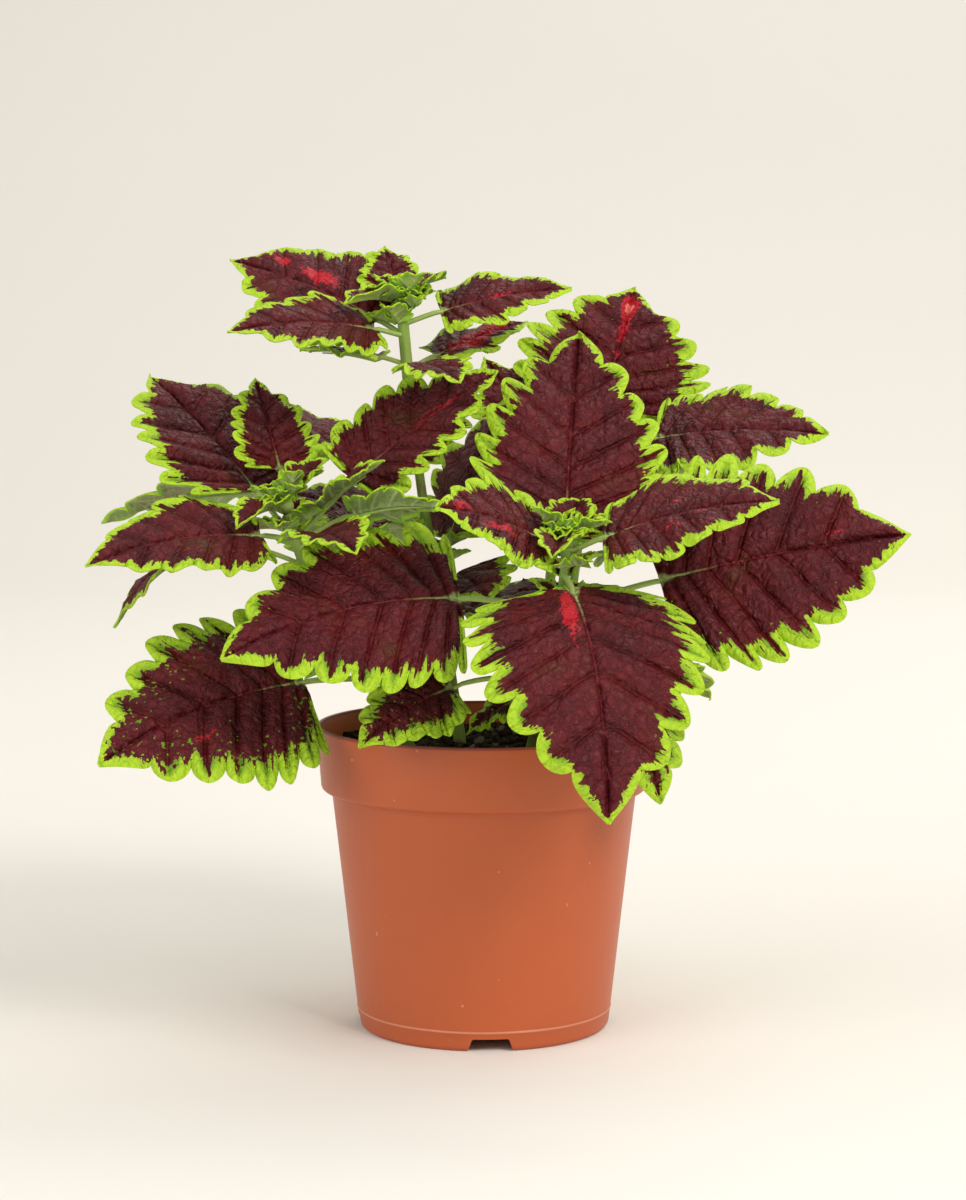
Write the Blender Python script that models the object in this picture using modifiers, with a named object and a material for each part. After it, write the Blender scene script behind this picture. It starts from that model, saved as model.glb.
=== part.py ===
# A coleus in a plastic nursery pot: pot, peat, leafy stems, bud clusters and single leaves.
# Metres, +Z up. The origin is on the pot's axis, at the surface that the pot stands on.
# The plant's broad front faces -Y.

import math
import random

import bpy
import bmesh
import numpy as np
from mathutils import Vector

MM = 0.001
GAP = 0.3 * MM  # clear space between two solids that touch

# Pot: a 12 cm nursery pot with a rim band and a foot ring
POT_TURNS = 40
RIM_R = 60.0 * MM
RIM_BOTTOM_R = 58.4 * MM
BODY_TOP_R = 54.6 * MM
BASE_R = 45.2 * MM
POT_H = 109.0 * MM
RIM_H = 23.0 * MM
WALL = 1.5 * MM
FOOT_ROUND = 2.4 * MM
PLATE_UNDER = 5.0 * MM
PLATE_TOP = 6.6 * MM
NOTCHES = 4
NOTCH_TURN = 3.0  # degrees that the front notch stands off the front
NOTCH_TOP_W = 13.0 * MM
NOTCH_FOOT_W = 19.0 * MM
NOTCH_H = 4.6 * MM
DRAIN_R = 4.0 * MM
DRAIN_RING_R = 30.0 * MM

# Peat
PEAT_TOP = 100.5 * MM
PEAT_RINGS = 5
PEAT_BUMP = 1.6 * MM

# Stems
STEM_SIDES_RESOLUTION = 1  # a bevel of six sides
STEM_FOOT_R = 2.8 * MM
STEM_TIP_R = 1.7 * MM
STEM_POINTS = 9
STEM_ROOT_Z = 62.0 * MM

# Leaves
BLADE_THICK = 0.75 * MM
RIB_THICK = 2.0 * MM
PETIOLE_HALF = 1.0 * MM
BASE_LOBE = 0.05  # how far the blade's base reaches back, as a share of its length
FIRST_TOOTH = 0.04  # where the teeth start and end along the margin
LAST_TOOTH = 0.87
TOOTH_LEAN = 1.2

# Each stem: its foot in the peat and its tip, in mm, and how far its middle bows, in mm
STEMS = {
    "left": dict(foot=(-17, -8), tip=(-68, -24, 186), bow=(-10, -4)),
    "top": dict(foot=(-6, 8), tip=(-29, 2, 256), bow=(-4, 2)),
    "front": dict(foot=(13, -17), tip=(28, -52, 176), bow=(4, -8)),
    "right": dict(foot=(20, 6), tip=(37, 36, 208), bow=(6, 2)),
    "back_left": dict(foot=(-14, 26), tip=(-40, 62, 196), bow=(-6, 8)),
    "back_right": dict(foot=(10, 28), tip=(28, 72, 180), bow=(4, 8)),
}


def leaf(stem, at, tip, width, arch, roll=0, fold=0, petiole=0.2, teeth=6, wave=1.5, fine=2):
    """One leaf: the stem it grows on, the height it leaves it at, its tip and its width in mm;
    arch, roll and fold in degrees; its petiole as a share of its length; teeth on each side."""
    return dict(stem=stem, at=at, tip=tip, width=width, arch=arch, roll=roll, fold=fold,
                petiole=petiole, teeth=teeth, wave=wave, fine=fine)


# Every leaf of the plant; the names say which stem and side each one grows on
LEAVES = {
    # the two big crossed pairs below the front bud
    "front_low": leaf("front", 167, (40, -116, 93), 74, 36, fold=-8, petiole=0.1, teeth=7, fine=3),
    "front_rear": leaf("front", 162, (34, 20, 248), 62, 8, roll=-9, fold=8, petiole=0.17,
                       teeth=7, fine=3),
    "front_right_big": leaf("front", 156, (147, -36, 180), 74, 6, roll=-58, petiole=0.27,
                            teeth=7, fine=3),
    "front_left_big": leaf("front", 154, (-88, -72, 141), 68, 22, roll=41, fold=-6, petiole=0.28,
                           teeth=7, fine=3),
    "front_left": leaf("front", 181, (-16, -74, 192), 42, 14, roll=36, petiole=0.12, fine=3),
    "front_right": leaf("front", 178, (98, -72, 194), 48, 12, roll=-30, petiole=0.16, fine=3),
    # the left stem
    "left_out": leaf("left", 178, (-134, -62, 171), 40, 16, roll=33, petiole=0.14, fine=3),
    "left_rear": leaf("left", 176, (-122, 32, 232), 64, 8, roll=10, fold=8, petiole=0.26, fine=3),
    "left_inner": leaf("left", 178, (5, -10, 235), 46, 10, roll=-31, fold=6, petiole=0.29, fine=3),
    "left_front": leaf("left", 174, (-42, -82, 177), 28, 20, roll=-10, fold=10, petiole=0.2),
    "left_under": leaf("left", 170, (-129, -24, 146), 28, 44, roll=10, petiole=0.4),
    "left_up": leaf("left", 182, (-82, 12, 232), 30, 6, roll=-3, fold=8, petiole=0.35),
    "left_side": leaf("left", 182, (-34, -46, 206), 20, 6, roll=-20, fold=14, petiole=0.2),
    # the top stem
    "top_left_rear": leaf("top", 249, (-92, 30, 274), 50, 10, roll=34, petiole=0.12, fine=3),
    "top_left_front": leaf("top", 248, (-88, -34, 249), 32, 14, roll=34, petiole=0.14, fine=3),
    "top_rear": leaf("top", 252, (-36, 34, 279), 24, 8, petiole=0.3),
    "top_right": leaf("top", 252, (31, 2, 264), 32, 10, roll=-30, petiole=0.2, fine=3),
    "top_low_left": leaf("top", 238, (-66, 14, 242), 26, 12, petiole=0.2),
    "top_low_right": leaf("top", 236, (16, 28, 252), 26, 8, roll=-14, petiole=0.2),
    "top_low_front": leaf("top", 237, (-8, -40, 232), 24, 14, roll=-6, petiole=0.2),
    # the right stem
    "right_rear": leaf("right", 192, (58, 92, 264), 66, 6, roll=-20, fold=8, petiole=0.34, fine=3),
    "right_out": leaf("right", 204, (123, 6, 212), 52, 12, roll=-30, petiole=0.28, fine=3),
    "right_inner": leaf("right", 180, (0, 70, 238), 36, 10, roll=20, petiole=0.4),
    "right_back": leaf("right", 176, (110, 70, 210), 46, 14, roll=10, petiole=0.24, teeth=5),
    # leaves low on the stems, over the pot's rim
    "low_left": leaf("left", 129, (-131, -58, 103), 70, 18, roll=42, fold=-4, petiole=0.2,
                     teeth=7, fine=3),
    "low_front": leaf("front", 130, (-42, -66, 110), 34, 26, roll=34, petiole=0.46),
    "low_right": leaf("right", 130, (60, -60, 90), 40, 34, petiole=0.3),
    "low_side": leaf("right", 142, (98, 28, 128), 46, 26, petiole=0.3, teeth=5),
    "low_inner": leaf("front", 124, (-6, -36, 110), 18, 20, roll=20, petiole=0.3),
    "mid_inner": leaf("right", 166, (12, -18, 196), 40, 20, roll=13, petiole=0.19, teeth=5),
    "mid_left": leaf("top", 176, (-76, 22, 188), 46, 18, roll=14, petiole=0.2, teeth=5),
    "mid_back": leaf("top", 165, (12, 26, 226), 52, 12, roll=6, petiole=0.15, teeth=5),
    "mid_low": leaf("top", 146, (36, 18, 156), 50, 12, roll=-6, petiole=0.1, teeth=5),
    "mid_front": leaf("top", 160, (2, -46, 158), 34, 20, roll=-14, petiole=0.3, teeth=5),
    "left_edge": leaf("left", 176, (-12, -46, 190), 20, 21, roll=30, petiole=0.38, teeth=5),
    # the back of the plant
    "rear_left_out": leaf("back_left", 184, (-146.9, 86, 174), 56, 18, roll=-12, petiole=0.24, teeth=5),
    "rear_left_down": leaf("back_left", 178, (-58, 114, 146), 56, 30, petiole=0.2, teeth=5),
    "rear_left_up": leaf("back_left", 192, (-92, 110, 223), 36, 10, petiole=0.24, teeth=5),
    "rear_left_in": leaf("back_left", 188, (-8, 104, 222), 36, 12, petiole=0.24, teeth=5),
    "rear_low_left": leaf("back_left", 138, (-110, 60, 112), 54, 28, petiole=0.3, teeth=5),
    "rear_right_out": leaf("back_right", 160, (114, 98, 156), 56, 20, roll=14, petiole=0.24, teeth=5),
    "rear_right_down": leaf("back_right", 156, (30, 116, 108), 52, 34, petiole=0.2, teeth=5),
    "rear_right_up": leaf("back_right", 174, (78, 104, 196), 38, 12, petiole=0.2, teeth=5),
    "rear_right_in": leaf("back_right", 172, (-26, 112, 180), 36, 14, petiole=0.2, teeth=5),
    "rear_low_right": leaf("back_right", 128, (88, 88, 106), 52, 28, petiole=0.3, teeth=5),
}

# Small leaves of each bud cluster: pairs set crosswise, each pair smaller and steeper; the cluster
# leans outward twice as far as its stem's end; the turn is the first pair's heading in degrees
BUD_PAIRS = 3
BUD_TEETH = 2
BUD_TURN = {"left": 40, "top": 50, "front": 80, "right": 10, "back_left": 20, "back_right": 150}
BUD_LEAF_LONG = 25.0 * MM
BUD_SHRINK = 0.66
BUD_SLANT = 10.0  # degrees above level across the stem, for the lowest pair
BUD_SLANT_STEP = 26.0
BUD_ARCH = 20.0
BUD_CORE_R = 2.6 * MM


def clear_scene():
    for obj in list(bpy.data.objects):
        bpy.data.objects.remove(obj, do_unlink=True)


def collection(name):
    made = bpy.data.collections.new(name)
    bpy.context.scene.collection.children.link(made)
    return made


def finish(name, colour, roughness):
    made = bpy.data.materials.new(name)
    made.use_nodes = True
    shader = made.node_tree.nodes["Principled BSDF"]
    shader.inputs["Base Color"].default_value = (*colour, 1)
    shader.inputs["Roughness"].default_value = roughness
    shader.inputs["Metallic"].default_value = 0.0
    return made


def add_object(name, mesh, where, material):
    obj = bpy.data.objects.new(name, mesh)
    where.objects.link(obj)
    if material:
        obj.data.materials.append(material)
    return obj


def as_cutter(obj):
    obj.hide_render = True
    obj.display_type = "WIRE"


def turned(name, profile, where, material):
    """A closed profile of (radius, height) turned about the Z axis."""
    mesh = bpy.data.meshes.new(name)
    points = [(radius, 0, height) for radius, height in profile]
    mesh.from_pydata(points, [(i, i + 1) for i in range(len(points) - 1)], [])
    obj = add_object(name, mesh, where, material)
    screw = obj.modifiers.new("Turn", "SCREW")
    screw.steps = screw.render_steps = POT_TURNS
    screw.use_merge_vertices = True
    screw.merge_threshold = 0.00001
    return obj


def body_r(z):
    """The pot's outer radius below its rim band."""
    low, high = FOOT_ROUND, POT_H - RIM_H
    return BASE_R + (BODY_TOP_R - BASE_R) * (z - low) / (high - low)


def inner_r(z):
    """The pot's inner radius: the body's taper, then the wider rim band."""
    shoulder = POT_H - RIM_H + WALL
    if z <= shoulder:
        return body_r(z) - WALL
    share = (z - shoulder) / (POT_H - shoulder)
    return RIM_BOTTOM_R - WALL + (RIM_R - RIM_BOTTOM_R) * share


def cut(obj, cutter):
    tool = obj.modifiers.new("Cut " + cutter.name, "BOOLEAN")
    tool.operation = "DIFFERENCE"
    tool.object = cutter


def notch_cutter(index, where):
    """A drain notch: a trapezoid block across the foot ring, wider at the floor."""
    mesh = bpy.data.meshes.new(f"notch_cutter_{index}")
    shape = bmesh.new()
    bmesh.ops.create_cube(shape, size=1.0)
    for corner in shape.verts:
        width = NOTCH_TOP_W if corner.co.z > 0 else NOTCH_FOOT_W
        corner.co.x = math.copysign(width / 2, corner.co.x)
        corner.co.y = -BASE_R + corner.co.y * 3 * FOOT_ROUND
        corner.co.z = NOTCH_H if corner.co.z > 0 else -NOTCH_H
    turn = math.radians(NOTCH_TURN) + index * math.tau / NOTCHES
    for corner in shape.verts:
        x, y = corner.co.x, corner.co.y
        corner.co.x = x * math.cos(turn) - y * math.sin(turn)
        corner.co.y = x * math.sin(turn) + y * math.cos(turn)
    shape.to_mesh(mesh)
    shape.free()
    obj = add_object(mesh.name, mesh, where, None)
    as_cutter(obj)
    return obj


def drain_cutter(index, where):
    """A round drain hole through the pot's floor, inside a notch."""
    mesh = bpy.data.meshes.new(f"drain_cutter_{index}")
    shape = bmesh.new()
    bmesh.ops.create_cone(shape, cap_ends=True, segments=12, radius1=DRAIN_R, radius2=DRAIN_R,
                          depth=4 * (PLATE_TOP - PLATE_UNDER))
    turn = math.radians(NOTCH_TURN) + index * math.tau / NOTCHES - math.pi / 2
    bmesh.ops.translate(shape, verts=shape.verts, vec=(
        DRAIN_RING_R * math.cos(turn), DRAIN_RING_R * math.sin(turn), (PLATE_UNDER + PLATE_TOP) / 2))
    shape.to_mesh(mesh)
    shape.free()
    obj = add_object(mesh.name, mesh, where, None)
    as_cutter(obj)
    return obj


def make_pot(where, cutters, material):
    shoulder = POT_H - RIM_H
    foot_in = BASE_R - WALL - 1.2 * MM
    profile = [
        (0, PLATE_TOP),
        (inner_r(PLATE_TOP), PLATE_TOP),
        (inner_r(shoulder + WALL), shoulder + WALL),
        (RIM_BOTTOM_R - WALL, shoulder + 2 * WALL),
        (RIM_R - WALL, POT_H - 0.4 * MM),
        (RIM_R - WALL / 2, POT_H),
        (RIM_R, POT_H - 0.5 * MM),
        (RIM_BOTTOM_R, shoulder + 1.6 * MM),
        (RIM_BOTTOM_R - 1.2 * MM, shoulder),
        (BODY_TOP_R, shoulder - 0.4 * MM),
        (body_r(FOOT_ROUND), FOOT_ROUND),
        (BASE_R - 0.8 * MM, 0.7 * MM),
        (BASE_R - 1.6 * MM, 0),
        (foot_in, 0),
        (foot_in - 0.4 * MM, PLATE_UNDER),
        (0, PLATE_UNDER),
    ]
    pot = turned("pot", profile, where, material)
    for index in range(NOTCHES):
        cut(pot, notch_cutter(index, cutters))
        cut(pot, drain_cutter(index, cutters))
    return pot


def stem_path(name):
    """The stem's centre line as a function of u, 0 in the peat and 1 at its tip."""
    spec = STEMS[name]
    foot = Vector((*spec["foot"], 0)) * MM
    foot.z = STEM_ROOT_Z
    tip = Vector(spec["tip"]) * MM
    middle = (foot + tip) / 2 + Vector((*spec["bow"], 0)) * MM
    knee = Vector((foot.x, foot.y, PEAT_TOP + 12 * MM))

    def at(u):
        return ((1 - u) ** 3 * foot + 3 * u * (1 - u) ** 2 * knee
                + 3 * u ** 2 * (1 - u) * middle + u ** 3 * tip)
    return at


def stem_r(u):
    return STEM_FOOT_R + (STEM_TIP_R - STEM_FOOT_R) * u


def stem_curve(name, extra, kind, where, material):
    """The stem as a bevelled curve; extra widens and deepens it, for the hole it stands in."""
    data = bpy.data.curves.new(kind + name, "CURVE")
    data.dimensions = "3D"
    data.bevel_depth = 1.0
    data.bevel_resolution = STEM_SIDES_RESOLUTION
    data.use_fill_caps = True
    spline = data.splines.new("POLY")
    spline.points.add(STEM_POINTS - 1)
    path = stem_path(name)
    for index, point in enumerate(spline.points):
        u = index / (STEM_POINTS - 1)
        point.co = (*path(u), 1)
        point.radius = stem_r(u) + extra
    spline.points[0].co.z -= extra
    return add_object(kind + name, data, where, material)


def as_mesh(obj, where):
    """A curve object turned into a mesh object with its caps welded."""
    bpy.context.view_layer.update()
    graph = bpy.context.evaluated_depsgraph_get()
    mesh = bpy.data.meshes.new_from_object(obj.evaluated_get(graph))
    shape = bmesh.new()
    shape.from_mesh(mesh)
    bmesh.ops.remove_doubles(shape, verts=shape.verts, dist=0.00001)
    shape.to_mesh(mesh)
    shape.free()
    name, matrix = obj.name, obj.matrix_world.copy()
    bpy.data.objects.remove(obj, do_unlink=True)
    made = add_object(name, mesh, where, None)
    made.matrix_world = matrix
    return made


def make_peat(where, cutters, material):
    """The peat fills the pot, with a bumpy top and a plain hole for each stem."""
    edge = inner_r(PEAT_TOP) - 1.5 * MM
    low = PLATE_TOP + GAP
    shoulder = POT_H - RIM_H + WALL
    clear = 2 * GAP
    profile = [(edge * k / PEAT_RINGS, PEAT_TOP) for k in range(PEAT_RINGS)]
    profile += [
        (inner_r(PEAT_TOP) - clear, PEAT_TOP),
        (inner_r(shoulder + WALL) - clear, shoulder + WALL + GAP),
        (inner_r(shoulder) - clear, shoulder),
        (inner_r(low) - clear, low),
        (0, low),
    ]
    peat = turned("peat", profile, where, material)
    bpy.context.view_layer.update()
    graph = bpy.context.evaluated_depsgraph_get()
    mesh = bpy.data.meshes.new_from_object(peat.evaluated_get(graph))
    peat.modifiers.clear()
    peat.data = mesh
    draw = random.Random(4)
    for vertex in mesh.vertices:
        radius = math.hypot(vertex.co.x, vertex.co.y)
        if vertex.co.z > PEAT_TOP - GAP and radius < edge * 0.95:
            vertex.co.z += PEAT_BUMP * (draw.random() - 0.5)
    for name in STEMS:
        hole = as_mesh(stem_curve(name, GAP * 1.4, "hole_", cutters, None), cutters)
        as_cutter(hole)
        cut(peat, hole)
    return peat


def shape_at(phi):
    """The blade's margin without teeth: place along the blade and share of the half-width."""
    back = math.sin(math.pi * phi / 0.3) if phi < 0.3 else 0.0
    along = phi ** 1.3 - BASE_LOBE * back
    out = phi ** 0.5 * (1 - phi ** 1.2) ** 0.95 / 0.432
    return along, out


def tooth(q):
    """One tooth's profile: a round lobe between sharp notches, leaning to the leaf's tip."""
    return max(0.0, math.sin(math.pi * q ** TOOTH_LEAN)) ** 0.6


def rib_at(phi):
    """Where on the midrib the side vein to margin place phi starts."""
    return phi ** 2.2


def tooth_depth(phi):
    """Depth of the teeth as a share of the leaf's width."""
    return 0.155 * (1 - phi) ** 0.3


def tooth_rows(teeth, fine):
    """The places phi along the margin that the mesh has a row at, with each one's tooth height."""
    marks = (0.0, 0.3, 0.74) if fine == 3 else (0.0, 0.56)
    rows = []
    for index in range(teeth):
        for q in marks:
            phi = FIRST_TOOTH + (LAST_TOOTH - FIRST_TOOTH) * (index + q) / teeth
            rows.append((phi, tooth(q)))
    rows.append((LAST_TOOTH, 0.0))
    return rows


class Ribbon:
    """A leaf's midrib as an arc from its stem to its tip, with a frame at each place."""

    def __init__(self, start, tip, arch, roll):
        chord = tip - start
        level = Vector((chord.x, chord.y, 0))
        forward = chord.normalized()
        up = (Vector((0, 0, 1)) - forward * forward.z)
        if up.length < 0.05:
            up = level
        up.normalize()
        self.start, self.tip, self.up = start, tip, up
        self.middle = (start + tip) / 2 + up * (chord.length / 2 * math.tan(math.radians(arch)))
        self.roll = math.radians(roll)
        self.steps = [self.bezier(k / 32) for k in range(33)]
        self.lengths = [0.0]
        for a, b in zip(self.steps, self.steps[1:]):
            self.lengths.append(self.lengths[-1] + (b - a).length)
        self.length = self.lengths[-1]

    def bezier(self, t):
        return (1 - t) ** 2 * self.start + 2 * t * (1 - t) * self.middle + t ** 2 * self.tip

    def place(self, along, out, lift):
        """The point at a distance along the midrib, out to its right and lifted off the blade."""
        inside = min(max(along, 0.0), self.length)
        t = float(np.interp(inside, self.lengths, np.linspace(0, 1, 33)))
        tangent = (2 * (1 - t) * (self.middle - self.start) + 2 * t * (self.tip - self.middle))
        tangent.normalize()
        normal = (self.up - tangent * self.up.dot(tangent)).normalized()
        side = tangent.cross(normal)
        turned_side = side * math.cos(self.roll) + normal * math.sin(self.roll)
        turned_up = normal * math.cos(self.roll) - side * math.sin(self.roll)
        return (self.bezier(t) + tangent * (along - inside) + turned_side * out
                + turned_up * lift)


def leaf_start(spec):
    """Where the petiole leaves the stem, just clear of the stem's skin."""
    path = stem_path(spec["stem"])
    height = spec["at"] * MM
    low, high = 0.0, 1.0
    for _ in range(40):
        u = (low + high) / 2
        low, high = (u, high) if path(u).z < height else (low, u)
    axis = (path(min(1.0, u + 0.01)) - path(u - 0.01)).normalized()
    centre = path(u)
    chord = (Vector(spec["tip"]) * MM - centre).normalized()
    rise = Vector((0, 0, 1)) - chord * chord.z
    lead = chord + rise.normalized() * math.tan(math.radians(spec["arch"]))
    lead.normalize()
    off = (lead - axis * lead.dot(axis)).normalized()
    return centre + off * (stem_r(u) + GAP + RIB_THICK / 2 * abs(lead.dot(axis)))


def blade_mesh(name, ribbon, spec):
    """The leaf as a strip of triangles, three points to a row, with its rib weights."""
    length = ribbon.length
    stalk = length * spec["petiole"]
    blade = length - stalk
    half = spec["width"] * MM / 2
    rows = tooth_rows(spec["teeth"], spec["fine"])
    draw = random.Random(name)
    phase = draw.random() * math.tau
    shape = bmesh.new()
    total = 2 + len(rows) + 1
    bmesh.ops.create_grid(shape, x_segments=total - 1, y_segments=2, size=0.5)
    shape.verts.ensure_lookup_table()
    ordered = sorted(shape.verts, key=lambda v: (round(v.co.x, 6), round(v.co.y, 6)))
    weights = {}
    fold = math.radians(spec["fold"])
    for row in range(total):
        if row < 2:
            along = stalk * (0.0, 0.86)[row]
            marks = [(along, PETIOLE_HALF, 0.0), (along, 0.0, 0.0), (along, -PETIOLE_HALF, 0.0)]
            thick = (1.0, 1.0)
        elif row == total - 1:
            marks = [(length, 0.0, 0.0)] * 3
            thick = (0.0, 0.0)
        else:
            phi, height = rows[row - 2]
            along, out = shape_at(phi)
            depth = tooth_depth(phi) * half * 2
            rib = rib_at(phi)
            side = Vector(((along - rib) * blade, out * half))
            side += side.normalized() * depth * (height - 0.45)
            side.y = max(side.y, PETIOLE_HALF)
            marks = []
            for hand in (1, 0, -1):
                ripple = spec["wave"] * MM * math.sin(math.tau * 2.4 * phi + phase + hand)
                lift = side.y * math.sin(fold) + ripple * side.y / half
                marks.append((stalk + rib * blade + side.x * abs(hand),
                              hand * side.y * math.cos(fold), lift * abs(hand)))
            thick = (0.0, max(0.25, 0.9 - phi))
        for column in range(3):
            vertex = ordered[row * 3 + column]
            vertex.co = ribbon.place(*marks[column])
            weights[vertex.index] = thick[1] if column == 1 else thick[0]
    bmesh.ops.triangulate(shape, faces=shape.faces)
    mesh = bpy.data.meshes.new(name)
    shape.to_mesh(mesh)
    shape.free()
    return mesh, weights


def thicken(obj, weights, thick):
    """Gives the blade its thickness: thin at the margin, thicker along the rib and petiole."""
    group = obj.vertex_groups.new(name="rib")
    for index, weight in weights.items():
        group.add([index], weight, "REPLACE")
    weld = obj.modifiers.new("Close the tip", "WELD")
    weld.merge_threshold = 0.00001
    solidify = obj.modifiers.new("Thickness", "SOLIDIFY")
    solidify.thickness = thick
    solidify.offset = 0
    solidify.vertex_group = "rib"
    solidify.thickness_vertex_group = BLADE_THICK / thick


def make_leaf(name, spec, where, material):
    ribbon = Ribbon(leaf_start(spec), Vector(spec["tip"]) * MM, spec["arch"], spec["roll"])
    mesh, weights = blade_mesh(name, ribbon, spec)
    obj = add_object("leaf_" + name, mesh, where, material)
    thicken(obj, weights, RIB_THICK)
    return obj


def make_bud(name, where, material):
    """The cluster at a stem's tip: small leaves in crossed pairs, joined to a small core."""
    path = stem_path(name)
    up = (path(1.0) - path(0.98)).normalized()
    centre = path(1.0) + up * (BUD_CORE_R + GAP)
    lean = Vector((0, 0, 1)).rotation_difference(up)
    lean = lean @ lean
    mesh = bpy.data.meshes.new("bud_" + name)
    shape = bmesh.new()
    bmesh.ops.create_uvsphere(shape, u_segments=8, v_segments=5, radius=BUD_CORE_R)
    bmesh.ops.translate(shape, verts=shape.verts, vec=centre)
    shape.to_mesh(mesh)
    shape.free()
    bud = add_object("bud_" + name, mesh, where, material)
    group = bpy.data.collections.new("leaves of bud_" + name)
    bpy.context.scene.collection.children.link(group)
    draw = random.Random("bud " + name)
    turn = math.radians(BUD_TURN[name])
    for pair in range(BUD_PAIRS):
        long = BUD_LEAF_LONG * BUD_SHRINK ** pair
        slant = math.radians(BUD_SLANT + BUD_SLANT_STEP * pair)
        for side in range(2):
            heading = turn + pair * math.pi / 2 + side * math.pi + (draw.random() - 0.5) * 0.4
            aim = lean @ Vector((math.cos(heading) * math.cos(slant),
                                 math.sin(heading) * math.cos(slant), math.sin(slant)))
            root = centre + aim * BUD_CORE_R * 0.3
            spec = dict(width=long / MM * 0.62, petiole=0.2, teeth=BUD_TEETH, wave=0.5,
                        fold=16, fine=2)
            ribbon = Ribbon(root, root + aim * long, BUD_ARCH, 0)
            small = blade_mesh(f"bud_{name}_{pair}_{side}", ribbon, spec)
            obj = add_object(f"bud_{name}_{pair}_{side}", small[0], group, None)
            thicken(obj, small[1], RIB_THICK * 0.6)
    join = bud.modifiers.new("Join", "BOOLEAN")
    join.operation = "UNION"
    join.operand_type = "COLLECTION"
    join.collection = group
    join.solver = "MANIFOLD"
    bpy.context.view_layer.update()
    graph = bpy.context.evaluated_depsgraph_get()
    bud.data = bpy.data.meshes.new_from_object(bud.evaluated_get(graph))
    bud.modifiers.clear()
    for obj in list(group.objects):
        bpy.data.objects.remove(obj, do_unlink=True)
    return bud


def main():
    clear_scene()
    plant = collection("coleus")
    cutters = collection("cutters")
    terracotta = finish("terracotta plastic", (0.56, 0.17, 0.07), 0.45)
    peat = finish("peat", (0.03, 0.02, 0.012), 0.95)
    green = finish("green stem", (0.24, 0.36, 0.10), 0.5)
    maroon = finish("maroon leaf", (0.13, 0.012, 0.022), 0.5)
    lime = finish("lime bud", (0.32, 0.42, 0.06), 0.5)
    make_pot(plant, cutters, terracotta)
    make_peat(plant, cutters, peat)
    for name in STEMS:
        stem_curve(name, 0.0, "stem_", plant, green)
        make_bud(name, plant, lime)
    for name, spec in LEAVES.items():
        make_leaf(name, spec, plant, maroon)


main()
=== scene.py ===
import math
import random

import bpy
import numpy as np
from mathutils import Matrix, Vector, noise


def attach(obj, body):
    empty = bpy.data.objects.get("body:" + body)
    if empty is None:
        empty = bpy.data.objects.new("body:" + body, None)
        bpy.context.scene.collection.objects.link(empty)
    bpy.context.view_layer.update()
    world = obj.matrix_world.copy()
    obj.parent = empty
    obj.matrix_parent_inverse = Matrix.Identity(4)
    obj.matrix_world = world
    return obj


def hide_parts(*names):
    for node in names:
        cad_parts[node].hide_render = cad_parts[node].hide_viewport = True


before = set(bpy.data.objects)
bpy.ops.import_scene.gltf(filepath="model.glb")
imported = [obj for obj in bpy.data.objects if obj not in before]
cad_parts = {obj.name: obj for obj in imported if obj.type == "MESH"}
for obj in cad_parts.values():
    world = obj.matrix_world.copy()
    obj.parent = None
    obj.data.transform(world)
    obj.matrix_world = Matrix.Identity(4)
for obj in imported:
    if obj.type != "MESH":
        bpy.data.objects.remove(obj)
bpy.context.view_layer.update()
mm = 0.001
print("frame loaded:", len(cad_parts), "nodes")


# small helpers for modelling

def clearSelection():
    if bpy.context.object and bpy.context.object.mode != "OBJECT":
        bpy.ops.object.mode_set(mode="OBJECT")
    bpy.ops.object.select_all(action="DESELECT")


def named(name):
    piece = bpy.context.object
    piece.name = name
    piece.data.name = name
    return piece


def pick(*pieces):
    clearSelection()
    for piece in pieces:
        piece.select_set(True)
    bpy.context.view_layer.objects.active = pieces[0]


def addModifier(piece, kind, **settings):
    modifier = piece.modifiers.new(kind.title(), kind)
    for key, value in settings.items():
        setattr(modifier, key, value)
    return modifier


def applyAll(piece):
    pick(piece)
    for modifier in list(piece.modifiers):
        bpy.ops.object.modifier_apply(modifier=modifier.name)


def smooth(piece, degrees=50):
    pick(piece)
    bpy.ops.object.shade_smooth_by_angle(angle=math.radians(degrees))


def joined(name, pieces):
    pick(*pieces)
    bpy.ops.object.join()
    piece = named(name)
    bpy.ops.object.transform_apply(location=True, rotation=True, scale=True)
    return piece


def coords(mesh):
    flat = np.empty(len(mesh.vertices) * 3)
    mesh.vertices.foreach_get("co", flat)
    return flat.reshape(-1, 3)


def setCoords(mesh, places):
    mesh.vertices.foreach_set("co", np.ascontiguousarray(places, dtype=np.float32).ravel())
    mesh.update()


def closeSeams(apart):
    # out of edit mode with doubles merged and normals turned outwards
    bpy.ops.mesh.select_all(action="SELECT")
    bpy.ops.mesh.remove_doubles(threshold=apart)
    bpy.ops.mesh.normals_make_consistent(inside=False)
    bpy.ops.object.mode_set(mode="OBJECT")


def lathe(name, profile, steps):
    # a ring at the first point, extruded and resized through the rest
    clearSelection()
    radius, height = profile[0]
    bpy.ops.mesh.primitive_circle_add(vertices=steps, radius=radius, location=(0, 0, height))
    piece = named(name)
    bpy.ops.object.mode_set(mode="EDIT")
    bpy.ops.mesh.select_all(action="SELECT")
    bpy.ops.mesh.edge_face_add()
    for (r0, z0), (r1, z1) in zip(profile, profile[1:]):
        bpy.ops.mesh.extrude_region_move(TRANSFORM_OT_translate={"value": (0, 0, z1 - z0)})
        bpy.ops.transform.resize(value=(r1 / r0, r1 / r0, 1))
    closeSeams(0.01 * mm)
    bpy.ops.object.transform_apply(location=True, rotation=True, scale=True)
    return piece


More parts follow.
